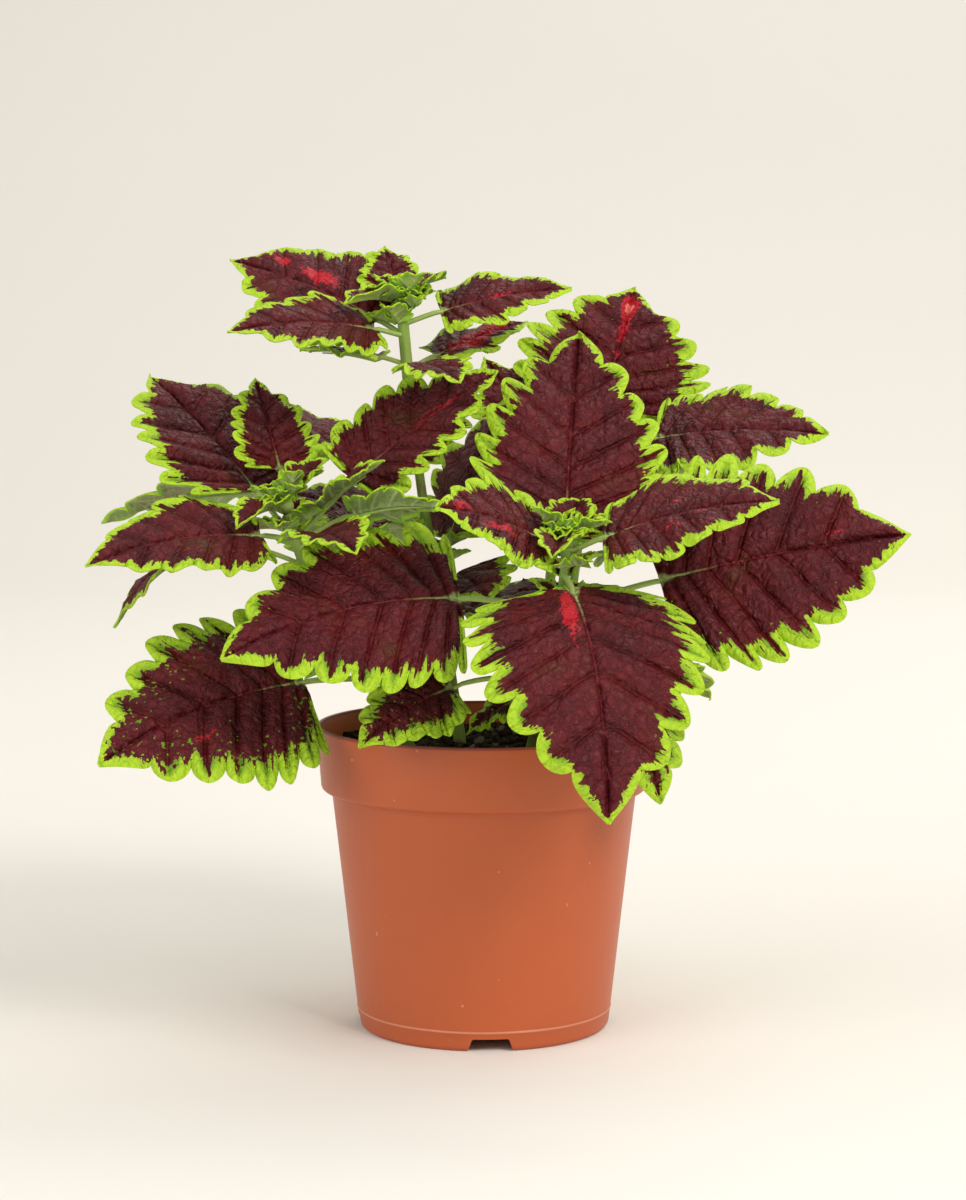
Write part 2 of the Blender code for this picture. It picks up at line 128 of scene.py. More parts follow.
def tube(name, points, radii, sides):
    # a bevelled curve through the points, turned into a mesh with closed ends
    clearSelection()
    bpy.ops.curve.primitive_bezier_curve_add()
    piece = named(name)
    curve = piece.data
    curve.splines.clear()
    line = curve.splines.new("POLY")
    line.points.add(len(points) - 1)
    for knot, place, radius in zip(line.points, points, radii):
        knot.co = (*place, 1)
        knot.radius = radius
    curve.dimensions = "3D"
    curve.bevel_depth = 1
    curve.bevel_resolution = max(0, sides // 2 - 2)
    curve.use_fill_caps = True
    bpy.ops.object.convert(target="MESH")
    piece = named(name)
    bpy.ops.object.mode_set(mode="EDIT")
    closeSeams(0.005 * mm)
    return piece


# shader maths

class Wire:
    # a shader socket that can be added, multiplied and so on
    def __init__(self, paint, socket):
        self.paint = paint
        self.socket = socket

    def __add__(self, other):
        return self.paint.maths("ADD", self, other)

    def __radd__(self, other):
        return self.paint.maths("ADD", other, self)

    def __sub__(self, other):
        return self.paint.maths("SUBTRACT", self, other)

    def __rsub__(self, other):
        return self.paint.maths("SUBTRACT", other, self)

    def __mul__(self, other):
        return self.paint.maths("MULTIPLY", self, other)

    def __rmul__(self, other):
        return self.paint.maths("MULTIPLY", other, self)


class Paint:
    # one material, built from node to node
    def __init__(self, name, **fixed):
        self.material = bpy.data.materials.new(name)
        self.material.use_nodes = True
        self.tree = self.material.node_tree
        self.shader = self.tree.nodes["Principled BSDF"]
        for key, value in fixed.items():
            self.shader.inputs[key.replace("_", " ")].default_value = value

    def node(self, kind, settings, wires, out=0):
        made = self.tree.nodes.new("ShaderNode" + kind)
        for key, value in settings.items():
            setattr(made, key, value)
        for key, value in wires.items():
            self.feed(made.inputs[key], value)
        return Wire(self, made.outputs[out])

    def feed(self, socket, value):
        if isinstance(value, Wire):
            self.tree.links.new(value.socket, socket)
        elif isinstance(value, tuple) and len(value) == 3 and socket.type == "RGBA":
            socket.default_value = (*value, 1)
        else:
            socket.default_value = value

    def maths(self, operation, first, second=0.0):
        return self.node("Math", {"operation": operation}, {0: first, 1: second})

    def clamp(self, value):
        return self.node("Clamp", {}, {0: value})

    def rise(self, value, low, high):
        # 0 below low, 1 above high, smooth between them
        settings = {"interpolation_type": "SMOOTHSTEP"}
        return self.node("MapRange", settings, {0: value, 1: low, 2: high})

    def blend(self, factor, low, high):
        return self.node("Mix", {"data_type": "RGBA"}, {0: factor, 6: low, 7: high}, 2)

    def here(self):
        return self.node("TexCoord", {}, {}, 3)

    def onMesh(self, name):
        return self.node("Attribute", {"attribute_name": name}, {}, 2)

    def uv(self, name):
        return self.node("UVMap", {"uv_map": name}, {})

    def stretched(self, vector, scale):
        return self.node("Mapping", {}, {0: vector, 3: scale})

    def noise(self, vector, scale, detail, rough):
        return self.node("TexNoise", {},
                         {"Vector": vector, "Scale": scale, "Detail": detail, "Roughness": rough})

    def colourNoise(self, vector, scale, amount):
        # a small push in any direction, to bend a pattern
        push = self.node("TexNoise", {}, {"Vector": vector, "Scale": scale, "Detail": 1.0}, 1)
        centred = self.node("VectorMath", {"operation": "SUBTRACT"}, {0: push, 1: (0.5, 0.5, 0.5)})
        return self.node("VectorMath", {"operation": "SCALE"}, {0: centred, 3: amount})

    def cells(self, vector, scale, feature="F1"):
        return self.node("TexVoronoi", {"feature": feature}, {"Vector": vector, "Scale": scale})

    def finish(self, **wires):
        for key, value in wires.items():
            self.feed(self.shader.inputs[key.replace("_", " ")], value)
        return self.material

    def bump(self, height, distance, strength):
        return self.node("Bump", {}, {"Strength": strength, "Distance": distance, "Height": height})


def wear(piece, *materials):
    piece.data.materials.clear()
    for material in materials:
        piece.data.materials.append(material)


# Stems: foot in the peat, tip and bow of the middle, in mm
stems = {
    "left": {"foot": (-17, -8), "tip": (-68, -24, 186), "bow": (-10, -4)},
    "top": {"foot": (-6, 8), "tip": (-29, 2, 256), "bow": (-4, 2)},
    "front": {"foot": (13, -17), "tip": (28, -52, 176), "bow": (4, -8)},
    "right": {"foot": (20, 6), "tip": (37, 36, 208), "bow": (6, 2)},
    "back_left": {"foot": (-14, 26), "tip": (-40, 62, 196), "bow": (-6, 8)},
    "back_right": {"foot": (10, 28), "tip": (28, 72, 180), "bow": (4, 8)},
}

# Leaves: the stem, the height where the petiole leaves it, tip and width in mm, arch, roll and fold
# in degrees, petiole as a share of the length, teeth on each side, how freely green flecks come,
# how wide the lime is, and the red splashes as along, across, size and strength

leafDetail = {"near": (16, 18), "middle": (12, 13), "far": (9, 9)}


def leafAt(stem, at, tip, width, arch, roll=0, fold=0, petiole=0.2, teeth=6, detail="middle", **looks):
    return {"stem": stem, "at": at, "tip": tip, "width": width, "arch": arch, "roll": roll,
            "fold": fold, "petiole": petiole, "teeth": teeth, "detail": leafDetail[detail],
            "wave": 1.5, **looks}


leaves = {
    "front_low": leafAt("front", 167, (40, -116, 93), 74, 36, fold=-8, petiole=0.1, teeth=7,
        detail="near", fleck=0.12, red=[(0.08, 0.09, 0.07, 0.95), (0.16, 0.13, 0.08, 0.85),
        (0.25, 0.13, 0.07, 0.75), (0.35, 0.13, 0.05, 0.6)]),
    "front_rear": leafAt("front", 162, (34, 20, 248), 62, 8, roll=-9, fold=8, petiole=0.17, teeth=7,
        detail="near", fleck=0.06, red=[(0.35, 0.1, 0.06, 0.5)]),
    "front_right_big": leafAt("front", 156, (147, -36, 180), 74, 6, roll=-58, petiole=0.27, teeth=7,
        detail="near", fleck=0.28, red=[(0.7, -0.1, 0.06, 0.55)]),
    "front_left_big": leafAt("front", 154, (-88, -72, 141), 68, 22, roll=41, fold=-6, petiole=0.28,
        teeth=7, detail="near", fleck=0.3),
    "front_left": leafAt("front", 181, (-16, -74, 192), 42, 14, roll=36, petiole=0.12, fleck=0.14,
        red=[(0.78, 0.1, 0.13, 0.75), (0.55, -0.3, 0.2, 0.62), (0.35, -0.35, 0.16, 0.5)]),
    "front_right": leafAt("front", 178, (98, -72, 194), 48, 12, roll=-30, petiole=0.16, fleck=0.16,
        red=[(0.62, 0.12, 0.08, 0.75), (0.45, 0.35, 0.15, 0.62), (0.78, 0.05, 0.08, 0.6),
        (0.4, -0.3, 0.12, 0.55)]),
    "left_out": leafAt("left", 178, (-134, -62, 171), 40, 16, roll=33, petiole=0.14, fleck=0.1),
    "left_rear": leafAt("left", 176, (-122, 32, 232), 64, 8, roll=10, fold=8, petiole=0.26, fleck=0.18),
    "left_inner": leafAt("left", 178, (5, -10, 235), 46, 10, roll=-31, fold=6, petiole=0.29,
        red=[(0.6, 0.02, 0.12, 0.75), (0.45, 0.05, 0.08, 0.6), (0.75, 0.05, 0.1, 0.5)]),
    "left_front": leafAt("left", 174, (-42, -82, 177), 28, 20, roll=-10, fold=10),
    "left_under": leafAt("left", 170, (-129, -24, 146), 28, 44, roll=10, petiole=0.4),
    "left_up": leafAt("left", 182, (-82, 12, 232), 30, 6, roll=-3, fold=8, petiole=0.35),
    "left_side": leafAt("left", 182, (-34, -46, 206), 20, 6, roll=-20, fold=14),
    "top_left_rear": leafAt("top", 249, (-92, 30, 274), 50, 10, roll=34, petiole=0.12,
        red=[(0.45, 0.2, 0.13, 1.3), (0.72, 0.25, 0.09, 0.9)]),
    "top_left_front": leafAt("top", 248, (-88, -34, 249), 32, 14, roll=34, petiole=0.14),
    "top_rear": leafAt("top", 252, (-36, 34, 279), 24, 8, petiole=0.3),
    "top_right": leafAt("top", 252, (31, 2, 264), 32, 10, roll=-30, red=[(0.45, 0, 0.12, 0.9),
        (0.65, 0.1, 0.1, 0.8)]),
    "top_low_left": leafAt("top", 238, (-66, 14, 242), 26, 12),
    "top_low_right": leafAt("top", 236, (16, 28, 252), 26, 8, roll=-14, red=[(0.35, 0.2, 0.35, 1.1),
        (0.6, -0.2, 0.3, 0.9)]),
    "top_low_front": leafAt("top", 237, (-8, -40, 232), 24, 14, roll=-6),
    "right_rear": leafAt("right", 192, (58, 92, 264), 66, 6, roll=-20, fold=8, petiole=0.34, fleck=0.2,
        red=[(0.82, 0, 0.1, 1.7), (0.62, 0, 0.09, 0.95), (0.45, 0.02, 0.06, 0.7)]),
    "right_out": leafAt("right", 204, (123, 6, 212), 52, 12, roll=-30, petiole=0.28, fleck=0.12),
    "right_inner": leafAt("right", 180, (0, 70, 238), 36, 10, roll=20, petiole=0.4),
    "right_back": leafAt("right", 176, (110, 70, 210), 46, 14, roll=10, petiole=0.24, teeth=5,
        detail="far"),
    "low_left": leafAt("left", 129, (-131, -58, 103), 70, 18, roll=42, fold=-4, teeth=7, detail="near",
        fleck=0.62, lime=1.15, red=[(0.55, -0.35, 0.08, 0.7)]),
    "low_front": leafAt("front", 130, (-42, -66, 110), 34, 26, roll=34, petiole=0.46, fleck=0.55, lime=2),
    "low_right": leafAt("right", 130, (60, -60, 90), 40, 34, petiole=0.3, fleck=0.5, lime=1.9),
    "low_side": leafAt("right", 142, (98, 28, 128), 46, 26, petiole=0.3, teeth=5, detail="far"),
    "low_inner": leafAt("front", 124, (-6, -36, 110), 18, 20, roll=20, petiole=0.3, detail="far",
        fleck=0.4, lime=1.6),
    "mid_inner": leafAt("right", 166, (12, -18, 196), 40, 20, roll=13, petiole=0.19, teeth=5,
        detail="far"),
    "mid_left": leafAt("top", 176, (-76, 22, 188), 46, 18, roll=14, teeth=5, detail="far"),
    "mid_back": leafAt("top", 165, (12, 26, 226), 52, 12, roll=6, petiole=0.15, teeth=5, detail="far"),
    "mid_low": leafAt("top", 146, (36, 18, 156), 50, 12, roll=-6, petiole=0.1, teeth=5),
    "mid_front": leafAt("top", 160, (2, -46, 158), 34, 20, roll=-14, petiole=0.3, teeth=5),
    "left_edge": leafAt("left", 176, (-12, -46, 190), 20, 21, roll=30, petiole=0.38, teeth=5),
    "rear_left_out": leafAt("back_left", 184, (-146.9, 86, 174), 56, 18, roll=-12, petiole=0.24, teeth=5,
        detail="far"),
    "rear_left_down": leafAt("back_left", 178, (-58, 114, 146), 56, 30, teeth=5, detail="far"),
    "rear_left_up": leafAt("back_left", 192, (-92, 110, 223), 36, 10, petiole=0.24, teeth=5,
        detail="far"),
    "rear_left_in": leafAt("back_left", 188, (-8, 104, 222), 36, 12, petiole=0.24, teeth=5, detail="far"),
    "rear_low_left": leafAt("back_left", 138, (-110, 60, 112), 54, 28, petiole=0.3, teeth=5,
        detail="far"),
    "rear_right_out": leafAt("back_right", 160, (114, 98, 156), 56, 20, roll=14, petiole=0.24, teeth=5,
        detail="far"),
    "rear_right_down": leafAt("back_right", 156, (30, 116, 108), 52, 34, teeth=5, detail="far"),
    "rear_right_up": leafAt("back_right", 174, (78, 104, 196), 38, 12, teeth=5, detail="far"),
    "rear_right_in": leafAt("back_right", 172, (-26, 112, 180), 36, 14, teeth=5, detail="far"),
    "rear_low_right": leafAt("back_right", 128, (88, 88, 106), 52, 28, petiole=0.3, teeth=5,
        detail="far"),
}

stemShape = {"root": 62, "knee": 112.5, "footRadius": 2.8, "tipRadius": 1.7, "sides": 4, "knots": 60,
             "skin": 1.06, "swell": 0.22, "swellReach": 0.022, "swellMost": 0.35, "corner": 0.9,
             "clear": 0.3, "clearLean": 1.0}


def stemPath(name):
    spec = stems[name]
    foot = Vector((*spec["foot"], stemShape["root"])) * mm
    tip = Vector(spec["tip"]) * mm
    middle = (foot + tip) / 2 + Vector((*spec["bow"], 0)) * mm
    knee = Vector((foot.x, foot.y, stemShape["knee"] * mm))

    def at(u):
        return ((1 - u) ** 3 * foot + 3 * u * (1 - u) ** 2 * knee
                + 3 * u ** 2 * (1 - u) * middle + u ** 3 * tip)
    return at


def stemRadius(u):
    return (stemShape["footRadius"] + (stemShape["tipRadius"] - stemShape["footRadius"]) * u) * mm


def stemPlace(stem, height):
    # how far up the stem a height in mm lies, with the stem's centre and direction there
    path = stemPath(stem)
    low, high = 0.0, 1.0
    for _ in range(40):
        u = (low + high) / 2
        low, high = (u, high) if path(u).z < height * mm else (low, u)
    return u, path(u), (path(min(1.0, u + 0.01)) - path(u - 0.01)).normalized()


# Leaf shape: every blade is a sheet of rows that run from the midrib out to the toothed margin

bladeShape = {"baseLobe": 0.05, "firstTooth": 0.04, "lastTooth": 0.87, "toothDepth": 0.155,
              "toothLean": 1.2, "tipBulge": 0.024, "thick": 0.5, "quilt": 0.026, "ribGroove": 0.7,
              "ribGrooveWide": 1.2, "waves": 2.4, "frill": 1.3, "frillWidth": 50, "lumps": 0.014,
              "lumpScale": 260, "edgeRows": 1.35}
petioleShape = {"radius": 1.05, "swell": 1.35, "underBlade": 0.72, "taper": 0.72, "knots": 26,
                "sides": 8}


class Ribbon:
    # the leaf's midrib as an arc from start to tip, with a frame at each place on it
    def __init__(self, start, tip, arch, roll):
        chord = tip - start
        forward = chord.normalized()
        up = (Vector((0, 0, 1)) - forward * forward.z).normalized()
        self.start = np.array(start)
        self.tip = np.array(tip)
        self.up = np.array(up)
        self.middle = (self.start + self.tip) / 2
        self.middle += self.up * chord.length / 2 * math.tan(math.radians(arch))
        self.roll = math.radians(roll)
        self.marks = np.linspace(0, 1, 33)
        steps = self.bezier(self.marks)
        self.lengths = np.concatenate([[0], np.cumsum(np.linalg.norm(np.diff(steps, axis=0), axis=1))])
        self.length = self.lengths[-1]

    def bezier(self, t):
        t = np.asarray(t)[..., None]
        return (1 - t) ** 2 * self.start + 2 * t * (1 - t) * self.middle + t ** 2 * self.tip

    def place(self, along, out, lift):
        along, out, lift = [np.asarray(value, dtype=float) for value in (along, out, lift)]
        inside = np.clip(along, 0, self.length)
        t = np.interp(inside, self.lengths, self.marks)
        tangent = (2 * (1 - t)[..., None] * (self.middle - self.start)
                   + 2 * t[..., None] * (self.tip - self.middle))
        tangent /= np.linalg.norm(tangent, axis=-1, keepdims=True)
        normal = self.up - tangent * (tangent @ self.up)[..., None]
        normal /= np.linalg.norm(normal, axis=-1, keepdims=True)
        side = np.cross(tangent, normal)
        turnedSide = side * math.cos(self.roll) + normal * math.sin(self.roll)
        turnedUp = normal * math.cos(self.roll) - side * math.sin(self.roll)
        return (self.bezier(t) + tangent * (along - inside)[..., None]
                + turnedSide * out[..., None] + turnedUp * lift[..., None])


def marginAt(phi):
    back = np.where(phi < 0.3, np.sin(np.pi * phi / 0.3), 0)
    along = phi ** 1.3 - bladeShape["baseLobe"] * back
    out = phi ** 0.5 * (1 - phi ** 1.2) ** 0.95 / 0.432
    return along, out


def toothHeight(q):
    # a round lobe between sharp notches, leaning to the leaf's tip
    return np.maximum(0, np.sin(np.pi * q ** bladeShape["toothLean"])) ** 0.6


def leafStart(spec):
    # where the petiole leaves the stem, just clear of its skin, and the stem's centre there
    u, centre, axis = stemPlace(spec["stem"], spec["at"])
    chord = (Vector(spec["tip"]) * mm - centre).normalized()
    rise = (Vector((0, 0, 1)) - chord * chord.z).normalized()
    lead = (chord + rise * math.tan(math.radians(spec["arch"]))).normalized()
    off = (lead - axis * lead.dot(axis)).normalized()
    clear = stemShape["clear"] * mm + stemShape["clearLean"] * mm * abs(lead.dot(axis))
    return centre + off * (stemRadius(u) + clear), centre


def marginRows(spec, perTooth):
    # phi and tooth height of every row from the blade's base to its last notch
    teeth, first, last = spec["teeth"], bladeShape["firstTooth"], bladeShape["lastTooth"]
    within = (1 - np.cos(np.pi * np.arange(perTooth) / perTooth)) / 2
    phi = first + (last - first) * (np.arange(teeth)[:, None] + within[None, :]) / teeth
    height = np.tile(toothHeight(within), teeth)
    return np.append(phi.ravel(), last), np.append(height, 0.0)


def flatLeaf(name, spec, ribbon, perTooth):
    # the blade laid flat: where each row meets the midrib and the margin, in metres
    stalk = ribbon.length * spec["petiole"]
    blade = ribbon.length - stalk
    half = spec["width"] * mm / 2
    phi, height = marginRows(spec, perTooth)
    draw = random.Random("teeth of " + name)
    along, out = marginAt(phi)
    depth = bladeShape["toothDepth"] * (1 - phi) ** 0.3 * half * 2
    rib = phi ** 2.2
    sides = []
    for hand in (1, -1):
        vary = np.repeat([draw.uniform(0.8, 1.25) for _ in range(spec["teeth"])], perTooth)
        vary = np.append(vary, 1)
        sideX, sideY = (along - rib) * blade, out * half
        reach = np.hypot(sideX, sideY)
        grow = depth * (height - 0.45) * vary
        sideX, sideY = sideX * (1 + grow / reach), np.maximum(sideY * (1 + grow / reach), 1.0 * mm)
        # the end lobe runs from the last notch to the tip with gently bulged sides
        s = np.linspace(0, 1, perTooth + 3)[1:]
        lobeRib = (rib[-1] + (1 - rib[-1]) * s) * blade
        lobeX = (rib[-1] * blade + sideX[-1]) * (1 - s) + blade * s - lobeRib
        lobeY = sideY[-1] * (1 - s) + blade * bladeShape["tipBulge"] * np.sin(np.pi * s ** 0.8)
        sides.append((np.append(sideX, lobeX), np.append(sideY, lobeY) * hand))
    allRib = np.append(rib * blade, lobeRib)
    allPhi = np.append(phi, phi[-1] + (1 - phi[-1]) * s)
    allHeight = np.append(height, np.sin(np.pi * s) * 0.6 + 0.4 * s)
    return {"stalk": stalk, "blade": blade, "half": half, "phi": allPhi, "rib": allRib,
            "sides": sides, "height": allHeight}


def distanceToLines(points, starts, ends):
    # each point's distance to the nearest of the straight lines
    best = np.full(len(points), 1.0)
    for a, b in zip(starts, ends):
        line = b - a
        t = np.clip(((points - a) @ line) / max(line @ line, 1e-12), 0, 1)
        best = np.minimum(best, np.linalg.norm(points - a - t[:, None] * line, axis=1))
    return best


def edgeAndVein(points, flat, teeth, perTooth):
    # how far each point is from the margin and from the nearest side vein, which ends in a tooth
    outline = [np.stack([flat["rib"] + x, y], axis=1) for x, y in flat["sides"]]
    edge = np.minimum(*[distanceToLines(points, side[:-1], side[1:]) for side in outline])
    peak = round(perTooth * 0.55) + perTooth * np.arange(teeth)
    starts = [np.array([flat["rib"][k], 0]) for k in peak] * 2
    ends = [side[k] for side in outline for k in peak]
    return edge, distanceToLines(points, starts, ends)


def layValues(mesh, name, values):
    layer = mesh.attributes.new(name, "FLOAT", "POINT")
    layer.data.foreach_set("value", values.astype(np.float32))


def leafSheet(name, spec, ribbon, perTooth, across):
    # a grid whose rows are laid onto the flat leaf and then onto its ribbon
    flat = flatLeaf(name, spec, ribbon, perTooth)
    rows = len(flat["phi"])
    clearSelection()
    bpy.ops.mesh.primitive_grid_add(x_subdivisions=rows - 1, y_subdivisions=2 * across, size=1)
    piece = named(name)
    mesh = piece.data
    grid = coords(mesh)
    row = np.rint((grid[:, 0] + 0.5) * (rows - 1)).astype(int)
    column = np.rint((grid[:, 1] + 0.5) * 2 * across).astype(int) - across
    onLeft = column > 0
    share = 1 - (1 - np.abs(column) / across) ** bladeShape["edgeRows"]
    (rightX, rightY), (leftX, leftY) = flat["sides"]
    flatX = flat["rib"][row] + np.where(onLeft, leftX[row], rightX[row]) * share
    flatY = np.where(onLeft, leftY[row], rightY[row]) * share
    points = np.stack([flatX, flatY], axis=1)
    edge, vein = edgeAndVein(points, flat, spec["teeth"], perTooth)

    # lift: fold along the midrib, wave of the margin, quilting between the veins
    draw = random.Random(name)
    phase = draw.random() * math.tau
    fold = math.radians(spec["fold"])
    phi = flat["phi"][row]
    reach = np.abs(flatY)
    handed = np.where(onLeft, -1, 1)
    ripple = spec["wave"] * mm * np.sin(math.tau * bladeShape["waves"] * phi + phase + handed)
    lift = reach * math.sin(fold) + ripple * reach / flat["half"]
    frill = bladeShape["frill"] * mm * np.sin(math.tau * flat["height"][row] * 0.5 + handed + phase)
    lift += frill * share ** 4 * np.minimum(1, spec["width"] / bladeShape["frillWidth"])
    spacing = flat["blade"] / spec["teeth"] * 0.5
    puff = np.clip(np.minimum(vein, edge * 1.5) / spacing, 0, 1)
    ribFar = np.clip(reach / (2.5 * mm), 0, 1)
    quilt = np.sin(np.pi / 2 * puff) ** 0.8 * ribFar
    lift += bladeShape["quilt"] * spec["width"] * mm * quilt
    lumpScale = bladeShape["lumpScale"]
    lumps = np.array([noise.noise(Vector((x * lumpScale, y * lumpScale, phase))) for x, y in points])
    lift += lumps * bladeShape["lumps"] * spec["width"] * mm * ribFar * np.clip(edge / (3 * mm), 0, 1)
    groove = np.exp(-(reach / (bladeShape["ribGrooveWide"] * mm)) ** 2)
    lift -= bladeShape["ribGroove"] * mm * groove * np.minimum(1, edge / mm / 3)
    setCoords(mesh, ribbon.place(flat["stalk"] + flatX, flatY * math.cos(fold), lift))

    for label, values in (("edgeMm", edge / mm), ("veinMm", vein / mm), ("ribMm", reach / mm),
                          ("alongBlade", flatX / flat["blade"]),
                          ("toothUp", flat["height"][row] * share)):
        layValues(mesh, label, values)
    layUv(mesh, "flatLeaf", points * 20 + (phase, 0))
    layUv(mesh, "streaks", np.stack([phi * spec["teeth"] * handed, share], axis=1))
    splash(mesh, points, spec, flat)
    return piece, flat


def layUv(mesh, name, values):
    loops = np.empty(len(mesh.loops), dtype=np.int32)
    mesh.loops.foreach_get("vertex_index", loops)
    layer = mesh.uv_layers.get(name) or mesh.uv_layers.new(name=name)
    layer.data.foreach_set("uv", values[loops].astype(np.float32).ravel())


def splash(mesh, points, spec, flat):
    # red splashes and green flecks sit where the leaf's settings put them
    red = np.zeros(len(points))
    for along, out, size, strength in spec.get("red", ()):
        away = np.hypot(points[:, 0] / flat["blade"] - along, points[:, 1] / flat["half"] - out)
        red += strength * np.exp(-(away / size) ** 2)
    lime = spec.get("lime", 1.0) * min(1.1, 0.45 + spec["width"] / 100)
    layValues(mesh, "redSplash", red)
    layValues(mesh, "flecks", np.full(len(points), spec.get("fleck", 0.12)))
    layValues(mesh, "limeWide", np.full(len(points), lime))


def thickened(piece, thick):
    addModifier(piece, "SOLIDIFY", thickness=thick * mm, offset=0, material_offset=1,
                material_offset_rim=0)
    applyAll(piece)
    smooth(piece, 62)
    return piece


def petiole(name, ribbon, stalk, blade, centre, radius, below):
    # a tapered stalk out of the stem that runs on under the blade as its midrib
    reach = stalk + blade * petioleShape["underBlade"]
    along = np.linspace(0, reach, petioleShape["knots"])
    under = np.clip((along - stalk * 0.9) / (0.1 * stalk + 0.05 * blade), 0, 1)
    thinning = np.clip((along - stalk * 0.8) / (reach - stalk * 0.8), 0, 1) ** 0.8
    thick = radius * (1 - petioleShape["taper"] * thinning)
    lift = -under * (thick * 0.75 + below)
    places = [Vector(p) for p in ribbon.place(along, np.zeros(len(along)), lift)]
    first = centre.lerp(places[0], 0.15)
    return tube(name, [first] + places, [radius * petioleShape["swell"]] + list(thick),
                petioleShape["sides"])


# Leaf materials

# the sheen colour is a painted highlight for the puffs of the top side
leafFinish = {"maroonDeep": (0.034, 0.0022, 0.0032), "maroonWarm": (0.120, 0.008, 0.009),
              "maroonPaintedHighlight": (0.150, 0.022, 0.030), "olive": (0.060, 0.036, 0.008),
              "lime": (0.400, 0.610, 0.028), "limeDeep": (0.150, 0.300, 0.018),
              "ribPale": (0.360, 0.440, 0.150), "ribPink": (0.220, 0.026, 0.034),
              "red": (0.500, 0.016, 0.028), "pink": (0.780, 0.220, 0.170),
              "underBlush": (0.150, 0.050, 0.060), "underNet": (0.420, 0.520, 0.240),
              "underVein": (0.440, 0.540, 0.250), "underEdge": (0.340, 0.620, 0.050),
              "stalkBlush": (0.16, 0.03, 0.04)}


def leafTopMaterial():
    paint = Paint("leafMaroonLime", Specular_IOR_Level=0.15)
    edge, vein, rib = paint.onMesh("edgeMm"), paint.onMesh("veinMm"), paint.onMesh("ribMm")
    tooth, along = paint.onMesh("toothUp"), paint.onMesh("alongBlade")
    flat, streaks = paint.uv("flatLeaf"), paint.uv("streaks")
    broad = paint.noise(flat, 2.2, 3.0, 0.6)
    middle = paint.noise(flat, 9.0, 3.0, 0.6)
    fine = paint.noise(flat, 42.0, 3.0, 0.6)
    warped = paint.node("VectorMath", {"operation": "ADD"},
                        {0: flat, 1: paint.colourNoise(flat, 9.0, 0.055)})
    net = paint.cells(warped, 12.0, "DISTANCE_TO_EDGE")
    netFine = paint.cells(warped, 27.0, "DISTANCE_TO_EDGE")

    # maroon in random deep and warm tones, with painted shade making it deep in the grooves of the net
    # and a painted highlight making it paler and cooler on the puffs
    puff = paint.rise(vein, 0.0, 3.2)
    maroon = paint.blend(paint.rise(broad, 0.3, 0.7), leafFinish["maroonDeep"],
                         leafFinish["maroonWarm"])
    # painted highlight: the puffs between the veins are blended paler and cooler, as if lit
    maroon = paint.blend(paint.clamp(puff * middle * 0.85), maroon, leafFinish["maroonPaintedHighlight"])
    tanned = paint.rise(broad + fine * 0.25, 0.70, 0.84) * 0.55
    maroon = paint.blend(tanned, maroon, leafFinish["olive"])
    # painted shade: the grooves of the net are darkened towards the deep maroon
    maroon = paint.blend(paint.rise(net, 0.14, 0.0) * 0.45, maroon, leafFinish["maroonDeep"])
    veinLine = paint.rise(vein + fine * 0.3, 0.50, 0.20)
    maroon = paint.blend(veinLine * 0.28, maroon, leafFinish["ribPink"])

    # red splashes with broken edges, pale pink at their hearts
    red = paint.onMesh("redSplash") + (fine - 0.5) * 1.7 + (middle - 0.5) * 1.0
    maroon = paint.blend(paint.rise(red, 0.52, 0.74) * 0.9, maroon, leafFinish["red"])
    maroon = paint.blend(paint.rise(red, 1.25, 1.55), maroon, leafFinish["pink"])

    # the midrib: pale green out of the petiole, then pink, then lost in the maroon
    ribLine = paint.rise(rib + along * 0.55, 0.62, 0.34)
    ribColour = paint.blend(paint.rise(along, 0.04, 0.26), leafFinish["ribPale"],
                            leafFinish["ribPink"])
    heart = paint.rise(along * 30 + rib + (middle - 0.5) * 3.0, 3.2, 1.6)
    maroon = paint.blend(heart * 0.8, maroon, leafFinish["ribPale"])
    maroon = paint.blend(ribLine * (0.95 - along * 0.6), maroon, ribColour)

    # lime: a thin line all round, wide at the teeth, broken into fingers that point inwards
    fingers = paint.noise(paint.stretched(streaks, (6.5, 1.6, 1)), 1.0, 3.0, 0.62)
    patch = paint.noise(flat, 15.0, 2.0, 0.5)
    width = tooth * 3.9 + (fingers - 0.5) * (tooth * 15.0 + 4.0) + (patch - 0.5) * 4.5 + 0.5
    width = width * paint.onMesh("limeWide")
    lime = paint.rise(width - edge, -0.15, 0.30)
    lime = paint.maths("MAXIMUM", lime, paint.rise(edge, 1.00, 0.60))
    spots = paint.noise(flat, 24.0, 2.0, 0.5) + paint.onMesh("flecks") * 0.30
    spots = spots - paint.clamp(edge * 0.010)
    lime = paint.maths("MAXIMUM", lime, paint.rise(spots, 0.735, 0.765))
    limeColour = paint.blend(paint.rise(edge + fine * 1.5, 2.0, 6.0), leafFinish["lime"],
                             leafFinish["limeDeep"])
    colour = paint.blend(lime, maroon, limeColour)

    relief = paint.rise(net, 0.0, 0.30) * 0.9 + paint.rise(netFine, 0.0, 0.3) * 0.35 + fine * 0.25
    relief = relief + paint.rise(vein, 0.0, 1.2) * 0.7 + paint.rise(rib, 0.0, 1.2) * 0.6
    return paint.finish(Base_Color=colour, Roughness=0.36 + fine * 0.16 + lime * 0.08,
                        Normal=paint.bump(relief, 0.0011, 0.75))


